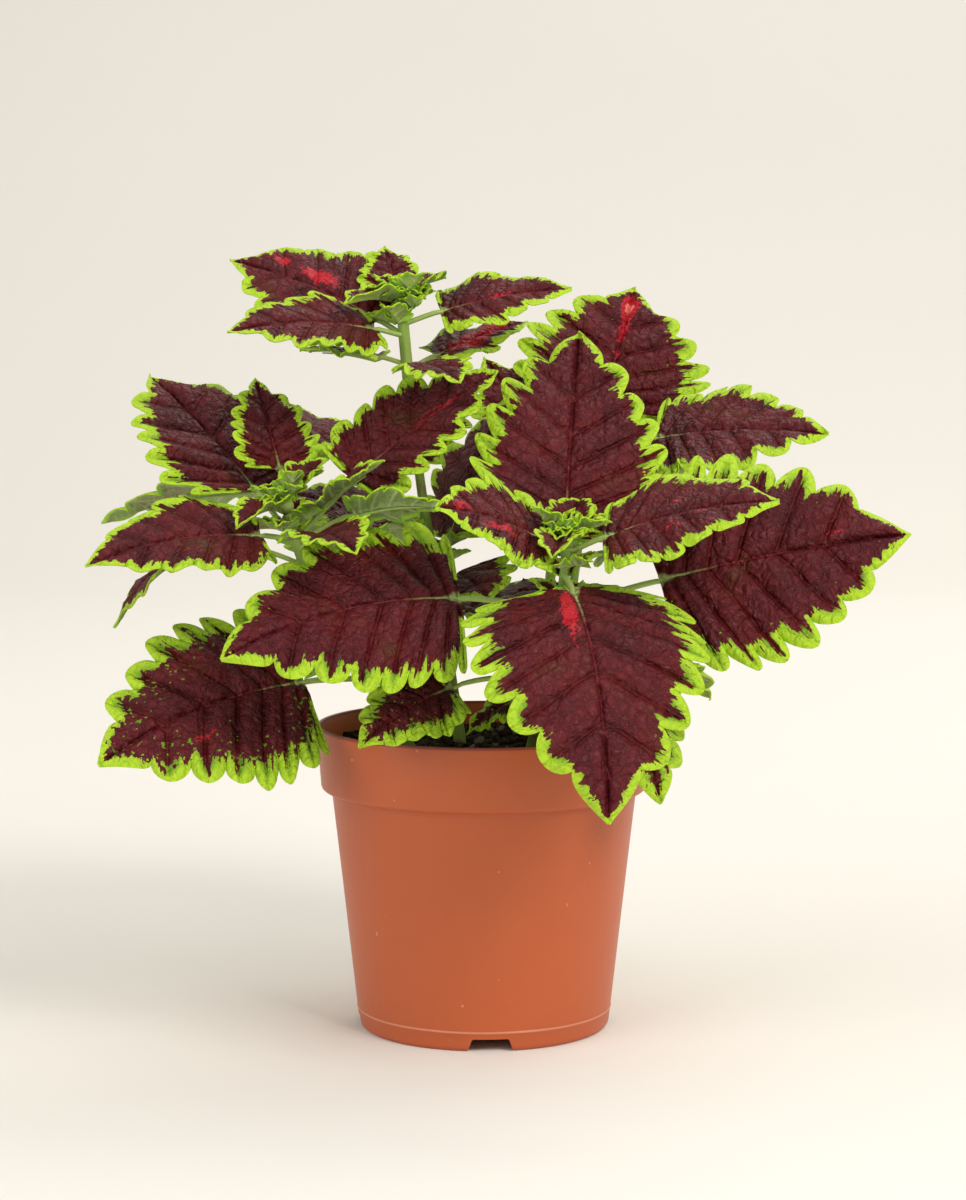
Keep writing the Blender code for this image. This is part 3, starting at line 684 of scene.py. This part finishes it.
def leafUnderMaterial(name, low, high):
    paint = Paint(name, Specular_IOR_Level=0.25)
    flat, vein, rib = paint.uv("flatLeaf"), paint.onMesh("veinMm"), paint.onMesh("ribMm")
    fine = paint.noise(flat, 38.0, 3.0, 0.6)
    broad = paint.noise(flat, 3.0, 2.0, 0.5)
    net = paint.cells(flat, 19.0, "DISTANCE_TO_EDGE")
    colour = paint.blend(broad, low, high)
    blush = paint.rise(broad + fine * 0.3, 0.58, 0.80) * 0.55
    colour = paint.blend(blush, colour, leafFinish["underBlush"])
    colour = paint.blend(paint.rise(net, 0.12, 0.0) * 0.5, colour, leafFinish["underNet"])
    colour = paint.blend(paint.rise(vein, 0.9, 0.3) * 0.8, colour, leafFinish["underVein"])
    edge = paint.rise(paint.onMesh("edgeMm"), 1.6, 0.5)
    colour = paint.blend(edge, colour, leafFinish["underEdge"])
    relief = paint.rise(vein, 0.8, 0.0) + paint.rise(rib, 1.2, 0.0) + fine * 0.4 - net * 0.5
    return paint.finish(Base_Color=colour, Roughness=0.55 + fine * 0.2,
                        Normal=paint.bump(relief, 0.0008, 0.6))


def stalkMaterial(name, low, high, blush):
    # downy green skin, ribbed along its length, with a little maroon blush
    paint = Paint(name, Specular_IOR_Level=0.3)
    here = paint.here()
    fine = paint.noise(here, 1400.0, 2.0, 0.6)
    broad = paint.noise(here, 60.0, 2.0, 0.5)
    ribs = paint.noise(paint.stretched(here, (900, 900, 60)), 1.0, 2.0, 0.5)
    colour = paint.blend(paint.clamp(broad * 0.7 + ribs * 0.5 - 0.1), low, high)
    blushed = paint.rise(broad + fine * 0.2, 0.60, 0.82) * blush
    colour = paint.blend(blushed, colour, leafFinish["stalkBlush"])
    return paint.finish(Base_Color=colour, Roughness=0.45 + fine * 0.25,
                        Normal=paint.bump(ribs * 0.6 + fine * 0.6, 0.0004, 0.6))


leafTop = leafTopMaterial()
leafUnder = leafUnderMaterial("leafPaleUnderside", (0.190, 0.280, 0.070), (0.320, 0.430, 0.130))
budUnder = leafUnderMaterial("budLimeUnderside", (0.300, 0.460, 0.055), (0.430, 0.600, 0.110))
stalkSkin = stalkMaterial("petioleGreen", (0.230, 0.350, 0.060), (0.430, 0.560, 0.160), 0.25)
stemSkin = stalkMaterial("stemGreen", (0.150, 0.260, 0.035), (0.330, 0.460, 0.100), 0.45)
print("leaf materials ready")


def makeLeaf(name, spec):
    start, centre = leafStart(spec)
    ribbon = Ribbon(start, Vector(spec["tip"]) * mm, spec["arch"], spec["roll"])
    perTooth, across = spec["detail"]
    sheet, flat = leafSheet("blade." + name, spec, ribbon, perTooth, across)
    wear(sheet, leafTop, leafUnder)
    thickened(sheet, bladeShape["thick"])
    radius = petioleShape["radius"] * mm * min(1, 0.7 + spec["width"] / 200)
    below = (bladeShape["thick"] + bladeShape["ribGroove"]) * mm
    stalk = petiole("stalk." + name, ribbon, flat["stalk"], flat["blade"], centre, radius, below)
    wear(stalk, stalkSkin)
    smooth(stalk, 60)
    leaf = joined("leafFine_" + name, [sheet, stalk])
    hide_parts("leaf_" + name)
    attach(leaf, "root")


for leafName, leafSpec in leaves.items():
    makeLeaf(leafName, leafSpec)
print("leaves made:", len(leaves))


# Young leaves of the bud clusters and of the corners above the petioles

youngShape = {"petiole": 0.16, "teeth": 4, "wave": 0.9, "fold": 24, "fleck": 0.05, "detail": (6, 4),
              "thick": 0.45}


def budLeaf(label, root, aim, long, width, curl, lime):
    spec = {**youngShape, "width": width, "lime": lime}
    ribbon = Ribbon(root, root + aim * long, curl, 0)
    sheet, _ = leafSheet(label, spec, ribbon, *youngShape["detail"])
    wear(sheet, leafTop, budUnder)
    return thickened(sheet, youngShape["thick"])


axilShape = {"leastWidth": 30, "long": (11, 20), "rise": 2.2, "wide": 0.64, "arch": 24, "lime": 1.2}


def axilLeaves(name):
    # a pair of young leaves in the corner above each larger leaf's petiole
    made = []
    draw = random.Random("axils of " + name)
    for leafName, spec in leaves.items():
        if spec["stem"] != name or spec["width"] < axilShape["leastWidth"]:
            continue
        start, centre = leafStart(spec)
        u, _, axis = stemPlace(name, spec["at"])
        out = (start - centre).normalized()
        across = axis.cross(out)
        root = centre + axis * axilShape["rise"] * mm + out * stemRadius(u) * 0.6
        for hand in (-1, 1):
            aim = (axis * draw.uniform(0.3, 0.8) + out * draw.uniform(0.6, 1.1)
                   + across * hand * draw.uniform(0.6, 1.2))
            long = draw.uniform(*axilShape["long"])
            made.append(budLeaf(f"axil.{leafName}.{hand}", root, aim.normalized(), long * mm,
                                long * axilShape["wide"], axilShape["arch"], axilShape["lime"]))
    return made


# Stems: square with rounded corners, swollen where leaves leave them

def makeStem(name):
    path = stemPath(name)
    joints = [stemPlace(name, spec["at"])[0] for spec in leaves.values() if spec["stem"] == name]
    u = np.linspace(0, 1, stemShape["knots"])
    radii = []
    for place in u:
        swell = sum(stemShape["swell"] * math.exp(-((place - joint) / stemShape["swellReach"]) ** 2)
                    for joint in joints)
        radii.append(stemRadius(place) * (stemShape["skin"] + min(stemShape["swellMost"], swell)))
    stem = tube("stemCore_" + name, [path(place) for place in u], radii, stemShape["sides"])
    addModifier(stem, "BEVEL", width=stemShape["corner"] * mm, segments=3, limit_method="ANGLE",
                angle_limit=math.radians(50))
    applyAll(stem)
    smooth(stem, 40)
    wear(stem, stemSkin)
    stem = joined("stemFine_" + name, [stem] + axilLeaves(name))
    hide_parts("stem_" + name)
    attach(stem, "root")


for stemName in stems:
    makeStem(stemName)
print("stems made:", len(stems))


# Bud clusters: crossed pairs that get smaller and steeper, with curled scales at the heart

budShape = {"pairs": 3, "long": 25, "wide": 0.70, "shrink": 0.66, "slant": 10, "slantStep": 26,
            "arch": 20, "lime": 0.9, "core": 2.6, "clear": 0.3, "hearts": 18, "heartLong": 11.5,
            "heartWide": 0.60, "heartTurn": 2.4, "heartLime": 1.3,
            "turn": {"left": 40, "top": 50, "front": 80, "right": 10, "back_left": 20,
                     "back_right": 150}}


def budAim(lean, heading, slant):
    return lean @ Vector((math.cos(heading) * math.cos(slant), math.sin(heading) * math.cos(slant),
                          math.sin(slant)))


def makeBud(name):
    # the cluster leans twice as far as its stem's end does
    path = stemPath(name)
    up = (path(1.0) - path(0.98)).normalized()
    centre = path(1.0) + up * (budShape["core"] + budShape["clear"]) * mm
    lean = Vector((0, 0, 1)).rotation_difference(up)
    lean = lean @ lean
    draw = random.Random("bud " + name)
    turn = math.radians(budShape["turn"][name])
    pieces = []
    for pair in range(budShape["pairs"]):
        long = budShape["long"] * budShape["shrink"] ** pair * mm
        slant = math.radians(budShape["slant"] + budShape["slantStep"] * pair)
        for side in range(2):
            heading = turn + pair * math.pi / 2 + side * math.pi + (draw.random() - 0.5) * 0.4
            aim = budAim(lean, heading, slant)
            pieces.append(budLeaf(f"bud.{name}.{pair}.{side}", centre + aim * 0.8 * mm, aim, long,
                                  long / mm * budShape["wide"], budShape["arch"], budShape["lime"]))
    for heart in range(budShape["hearts"]):
        heading = turn + heart * budShape["heartTurn"]
        slant = math.radians(14 + 62 * heart / budShape["hearts"] + draw.uniform(-8, 8))
        aim = budAim(lean, heading, slant)
        shorter = 1.1 - 0.7 * heart / budShape["hearts"]
        long = budShape["heartLong"] * shorter * draw.uniform(0.8, 1.2) * mm
        pieces.append(budLeaf(f"heart.{name}.{heart}", centre + aim * 0.6 * mm, aim, long,
                              long / mm * budShape["heartWide"], draw.uniform(18, 44),
                              budShape["heartLime"]))
    clearSelection()
    bpy.ops.mesh.primitive_ico_sphere_add(subdivisions=3, radius=budShape["core"] * mm,
                                          location=centre)
    core = named("core." + name)
    wear(core, stalkSkin)
    smooth(core, 80)
    bud = joined("budFine_" + name, pieces + [core])
    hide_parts("bud_" + name)
    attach(bud, "root")


for budName in stems:
    makeBud(budName)
print("bud clusters made:", len(stems))


# Pot: the same profile as the frame's pot, turned finely, with its drain notches

potShape = {"steps": 192, "rim": 60.0, "rimBottom": 58.4, "bodyTop": 54.6, "base": 45.2,
            "height": 109.0, "shoulder": 86.0, "wall": 1.5, "footRound": 2.4, "footStep": 1.2,
            "plateUnder": 5.0, "plateTop": 6.6, "notches": 4, "notchTurn": 3.0,
            "notchTop": 13.0, "notchFoot": 19.0, "notchHeight": 4.6, "notchRound": 0.7,
            "drainRadius": 4, "drainOut": 30, "drainMiddle": 5.8, "drainLong": 6.4}


def potRadius(z):
    # outside of the tapered body at a height in mm
    low, high = potShape["footRound"], potShape["shoulder"]
    return potShape["base"] + (potShape["bodyTop"] - potShape["base"]) * (z - low) / (high - low)


def insideRadius(z):
    shoulder = potShape["shoulder"] + potShape["wall"]
    if z <= shoulder:
        return potRadius(z) - potShape["wall"]
    share = (z - shoulder) / (potShape["height"] - shoulder)
    return potShape["rimBottom"] - potShape["wall"] + (potShape["rim"] - potShape["rimBottom"]) * share


def potProfile():
    # radii and heights in mm, from the plate's middle up the inside and over the rim
    rim, rimBottom, body, base, height, shoulder, wall, top, under, foot = [potShape[key] for key in (
        "rim", "rimBottom", "bodyTop", "base", "height", "shoulder", "wall", "plateTop",
        "plateUnder", "footRound")]
    footIn = base - wall - potShape["footStep"]
    profile = [(0.2, top), (insideRadius(top), top), (insideRadius(shoulder + wall), shoulder + wall),
               (rimBottom - wall, shoulder + 2 * wall), (rim - wall, height - 0.5),
               (rim - wall + 0.12, height - 0.18), (rim - wall + 0.4, height), (rim - 0.4, height),
               (rim - 0.1, height - 0.16), (rim, height - 0.5)]
    # the rim's face, then its rolled lower edge and the step in to the body
    profile += [(rimBottom + 0.06, shoulder + 2.2), (rimBottom, shoulder + 1.4),
                (rimBottom - 0.25, shoulder + 0.7), (rimBottom - 0.8, shoulder + 0.2),
                (rimBottom - 1.4, shoulder), (body + 0.5, shoulder - 0.15), (body, shoulder - 0.7)]
    # the body, with a fine moulded line above the foot
    profile += [(potRadius(60), 60), (potRadius(30), 30), (potRadius(7.4), 7.4),
                (potRadius(7.1) + 0.18, 7.1), (potRadius(6.7) + 0.18, 6.7), (potRadius(6.4), 6.4),
                (potRadius(foot), foot), (base - 0.25, 1.3), (base - 0.8, 0.55), (base - 1.6, 0.0),
                (footIn, 0.0), (footIn - 0.4, under), (0.2, under)]
    return [(r * mm, z * mm) for r, z in profile]


def notchBlock(index):
    clearSelection()
    bpy.ops.mesh.primitive_cube_add(size=1)
    block = named(f"notch.{index}")
    places = coords(block.data)
    top = places[:, 2] > 0
    wide = np.where(top, potShape["notchTop"], potShape["notchFoot"])
    places[:, 0] = np.sign(places[:, 0]) * wide / 2 * mm
    places[:, 1] = (-potShape["base"] + places[:, 1] * 3 * potShape["footRound"]) * mm
    places[:, 2] = np.where(top, potShape["notchHeight"], -potShape["notchHeight"]) * mm
    turn = math.radians(potShape["notchTurn"]) + index * math.tau / potShape["notches"]
    x, y = places[:, 0].copy(), places[:, 1].copy()
    places[:, 0] = x * math.cos(turn) - y * math.sin(turn)
    places[:, 1] = x * math.sin(turn) + y * math.cos(turn)
    setCoords(block.data, places)
    addModifier(block, "BEVEL", width=potShape["notchRound"] * mm, segments=3, limit_method="ANGLE")
    applyAll(block)
    return block


def drainRod(index):
    turn = math.radians(potShape["notchTurn"]) + index * math.tau / potShape["notches"] - math.pi / 2
    out = potShape["drainOut"] * mm
    clearSelection()
    bpy.ops.mesh.primitive_cylinder_add(
        vertices=32, radius=potShape["drainRadius"] * mm, depth=potShape["drainLong"] * mm,
        location=(out * math.cos(turn), out * math.sin(turn), potShape["drainMiddle"] * mm))
    return named(f"drain.{index}")


potLook = {"clay": (0.420, 0.086, 0.024), "clayPale": (0.500, 0.106, 0.031),
           "speck": (0.62, 0.40, 0.30), "lip": (0.240, 0.030, 0.018), "line": (0.72, 0.36, 0.22),
           "scuff": (0.42, 0.20, 0.12), "lipFrom": 0.1079, "lipFull": 0.1083, "lineHeight": 0.0069}


def potMaterial():
    paint = Paint("terracottaPlastic", Specular_IOR_Level=0.38)
    here = paint.here()
    z = paint.node("SeparateXYZ", {}, {0: here}, 2)
    broad = paint.noise(here, 18.0, 3.0, 0.5)
    fine = paint.noise(here, 900.0, 2.0, 0.5)
    rings = paint.noise(paint.stretched(here, (6, 6, 700)), 1.0, 2.0, 0.5)
    colour = paint.blend(broad, potLook["clay"], potLook["clayPale"])
    specks = paint.noise(here, 330.0, 1.0, 0.4)
    colour = paint.blend(paint.rise(specks, 0.775, 0.82) * 0.35, colour, potLook["speck"])
    lip = paint.rise(z, potLook["lipFrom"], potLook["lipFull"])
    colour = paint.blend(lip * 0.85, colour, potLook["lip"])
    line = paint.rise(paint.maths("ABSOLUTE", z - potLook["lineHeight"]), 0.0005, 0.0001)
    colour = paint.blend(line * 0.55, colour, potLook["line"])
    scuff = paint.rise(paint.noise(here, 55.0, 5.0, 0.7) + paint.rise(z, 0.02, 0.0) * 0.12, 0.68, 0.86)
    colour = paint.blend(scuff * 0.35, colour, potLook["scuff"])
    return paint.finish(Base_Color=colour, Roughness=0.34 + broad * 0.14 + scuff * 0.2,
                        Normal=paint.bump(rings * 0.35 + fine * 0.3 + broad * 0.6, 0.00025, 0.5))


def makePot():
    pot = lathe("potFine", potProfile(), potShape["steps"])
    for index in range(potShape["notches"]):
        for tool in (notchBlock(index), drainRod(index)):
            addModifier(pot, "BOOLEAN", operation="DIFFERENCE", object=tool, solver="EXACT")
            applyAll(pot)
            bpy.data.objects.remove(tool, do_unlink=True)
    smooth(pot, 32)
    wear(pot, potMaterial())
    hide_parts("pot")
    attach(pot, "root")


makePot()
print("pot made")


# Peat: a rough bed with loose crumbs and a few fibres on it

peatShape = {"top": 100.5, "rough": 2.2, "wallGap": 0.6, "rings": 30, "steps": 144,
             "crumbKinds": 5, "crumbs": 900, "fibres": 46, "fibreRadii": (0.10, 0.16, 0.14, 0.07)}


def peatMaterial(name, dark, light):
    paint = Paint(name, Specular_IOR_Level=0.15)
    here = paint.here()
    crumb = paint.cells(here, 420.0)
    fine = paint.noise(here, 900.0, 3.0, 0.7)
    broad = paint.noise(here, 120.0, 3.0, 0.6)
    colour = paint.blend(paint.clamp(fine * 0.7 + broad * 0.6 - 0.25), dark, light)
    return paint.finish(Base_Color=colour, Roughness=0.85 + fine * 0.12,
                        Normal=paint.bump(crumb + fine * 0.6, 0.0015, 0.9))


def bedHeight(x, y):
    place = Vector((x, y, 0))
    return peatShape["rough"] * mm * (noise.noise(place * 90) * 0.7 + noise.noise(place * 260) * 0.45)


def bedEdge():
    return insideRadius(peatShape["top"]) - peatShape["wallGap"]


def makeBed():
    top, gap, wall, edge = peatShape["top"], peatShape["wallGap"], potShape["wall"], bedEdge()
    shoulder, low, rings = potShape["shoulder"] + wall, potShape["plateTop"] + 0.3, peatShape["rings"]
    profile = [(edge * (1 - k / rings) + 0.1, top) for k in range(rings, -1, -1)]
    profile += [(insideRadius(shoulder + wall) - gap, shoulder + wall + 0.3),
                (insideRadius(shoulder) - gap, shoulder), (insideRadius(low) - gap, low), (0.2, low)]
    bed = lathe("peatBed", [(r * mm, z * mm) for r, z in profile], peatShape["steps"])
    places = coords(bed.data)
    for place in places:
        if place[2] > (top - 0.2) * mm:
            inwards = (edge * mm - math.hypot(place[0], place[1])) * 400 + 0.2
            place[2] += bedHeight(place[0], place[1]) * min(1, inwards)
    setCoords(bed.data, places)
    wear(bed, peatMaterial("peatDark", (0.006, 0.004, 0.003), (0.050, 0.032, 0.020)))
    smooth(bed, 80)
    return bed


def crumbLump(kind):
    clearSelection()
    bpy.ops.mesh.primitive_ico_sphere_add(subdivisions=2, radius=1)
    lump = named(f"crumb.{kind}")
    shift = Vector((kind * 7, 0, 0))
    shape = [Vector(p) for p in coords(lump.data)]
    setCoords(lump.data, np.array([p * (1 + 0.55 * noise.noise(p * 1.7 + shift)) for p in shape]))
    return lump


def crumbOnBed(draw, lumps, skins):
    radius = bedEdge() * math.sqrt(draw.random()) * 0.975
    angle = draw.random() * math.tau
    size = draw.uniform(0.35, 1.0) ** 2 * 1.7 + 0.25
    x, y = radius * math.cos(angle) * mm, radius * math.sin(angle) * mm
    crumb = draw.choice(lumps).copy()
    crumb.data = crumb.data.copy()
    bpy.context.collection.objects.link(crumb)
    crumb.location = (x, y, peatShape["top"] * mm + bedHeight(x, y) + size * 0.25 * mm)
    crumb.rotation_euler = [draw.random() * math.tau for _ in range(3)]
    crumb.scale = [size * draw.uniform(0.6, 1.3) * mm for _ in range(3)]
    wear(crumb, draw.choices(skins, (8, 4, 1))[0])
    return crumb


def fibreOnBed(draw, skins):
    angle, radius = draw.random() * math.tau, bedEdge() * math.sqrt(draw.random()) * 0.9
    x, y = radius * math.cos(angle) * mm, radius * math.sin(angle) * mm
    heading, long = draw.random() * math.tau, draw.uniform(3, 9) * mm
    middle = Vector((x, y, peatShape["top"] * mm + bedHeight(x, y) + 0.8 * mm))
    line = []
    for bend in (-0.5, -0.2, 0.15, 0.5):
        way = Vector((math.cos(heading + bend * 0.5), math.sin(heading + bend * 0.5), 0))
        line.append(middle + way * long * bend + Vector((0, 0, 0.5 * mm * draw.uniform(-1, 1))))
    fibre = tube("fibre", line, [radius * mm for radius in peatShape["fibreRadii"]], 6)
    wear(fibre, skins[draw.choice((1, 2))])
    return fibre


def makePeat():
    bed = makeBed()
    lumps = [crumbLump(kind) for kind in range(peatShape["crumbKinds"])]
    skins = [peatMaterial("crumbDark", (0.008, 0.005, 0.003), (0.060, 0.036, 0.022)),
             peatMaterial("crumbBrown", (0.030, 0.016, 0.008), (0.130, 0.080, 0.045)),
             peatMaterial("crumbPale", (0.120, 0.090, 0.060), (0.300, 0.240, 0.170))]
    draw = random.Random(12)
    loose = [crumbOnBed(draw, lumps, skins) for _ in range(peatShape["crumbs"])]
    loose += [fibreOnBed(draw, skins) for _ in range(peatShape["fibres"])]
    for lump in lumps:
        bpy.data.objects.remove(lump, do_unlink=True)
    loose = joined("peatCrumbs", loose)
    smooth(loose, 70)
    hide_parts("peat")
    for piece in (bed, loose):
        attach(piece, "root")


makePeat()
print("peat made")


# Floor, light and camera

stageLook = {"wall": (0.800, 0.772, 0.720), "wallPale": (0.815, 0.787, 0.735), "size": 3.2,
             "bend": 1.6, "sky": (0.93, 0.91, 0.875), "skyStrength": 0.66}
# each lamp's place, aim, size, power and colour
lamps = {"keyLight": ((1.15, -1.35, 1.55), (0, 0, 0.14), 0.9, 32, (1.0, 0.965, 0.915)),
         "fillLight": ((-1.5, -1.2, 0.9), (0, 0, 0.15), 1.4, 14, (0.96, 0.97, 1.0)),
         "backLight": ((0.7, 1.2, 1.6), (0, 0, 0.2), 1.2, 9, (1.0, 0.97, 0.93)),
         "wallLight": ((0.9, 1.3, 2.4), (0.35, 3.1, 0.7), 1.8, 18, (1.0, 0.98, 0.95))}
view = {"place": (0, -1.080, 0.265), "tilt": 84.1, "lens": 91.23, "sensor": 36, "shift": -1 / 1200,
        "near": 0.01}


def makeStage():
    clearSelection()
    bpy.ops.mesh.primitive_plane_add(size=2 * stageLook["size"])
    floor = named("studioFloor")
    bpy.ops.object.mode_set(mode="EDIT")
    bpy.ops.mesh.select_all(action="DESELECT")
    bpy.ops.object.mode_set(mode="OBJECT")
    for edge in floor.data.edges:
        ends = [floor.data.vertices[k].co.y for k in edge.vertices]
        edge.select = min(ends) > 0
    bpy.ops.object.mode_set(mode="EDIT")
    bpy.ops.mesh.select_mode(type="EDGE")
    bpy.ops.mesh.extrude_region_move(TRANSFORM_OT_translate={"value": (0, 0, 2 * stageLook["size"])})
    bpy.ops.object.mode_set(mode="OBJECT")
    addModifier(floor, "BEVEL", width=stageLook["bend"], segments=24, limit_method="ANGLE")
    applyAll(floor)
    smooth(floor, 60)
    paint = Paint("studioPaper", Roughness=0.9)
    grain = paint.noise(paint.here(), 3.0, 3.0, 0.5)
    paper = paint.blend(grain, stageLook["wall"], stageLook["wallPale"])
    wear(floor, paint.finish(Base_Color=paper))


def hangLamp(name, place, aim, size, power, colour):
    clearSelection()
    bpy.ops.object.light_add(type="AREA", location=place)
    light = bpy.context.object
    light.name = name
    light.data.size = size
    light.data.energy = power
    light.data.color = colour
    light.rotation_euler = (Vector(aim) - Vector(place)).to_track_quat("-Z", "Y").to_euler()


makeStage()
for lampName, settings in lamps.items():
    hangLamp(lampName, *settings)

world = bpy.data.worlds.new("softRoom")
bpy.context.scene.world = world
world.use_nodes = True
sky = world.node_tree.nodes["Background"].inputs
sky["Color"].default_value = (*stageLook["sky"], 1)
sky["Strength"].default_value = stageLook["skyStrength"]
bpy.context.scene.view_settings.view_transform = "Standard"

clearSelection()
bpy.ops.object.camera_add(location=view["place"], rotation=(math.radians(view["tilt"]), 0, 0))
camera = bpy.context.object
camera.name = "photoCamera"
camera.data.lens = view["lens"]
camera.data.sensor_width = view["sensor"]
camera.data.shift_x = view["shift"]
camera.data.clip_start = view["near"]
bpy.context.scene.camera = camera

print("scene ready")
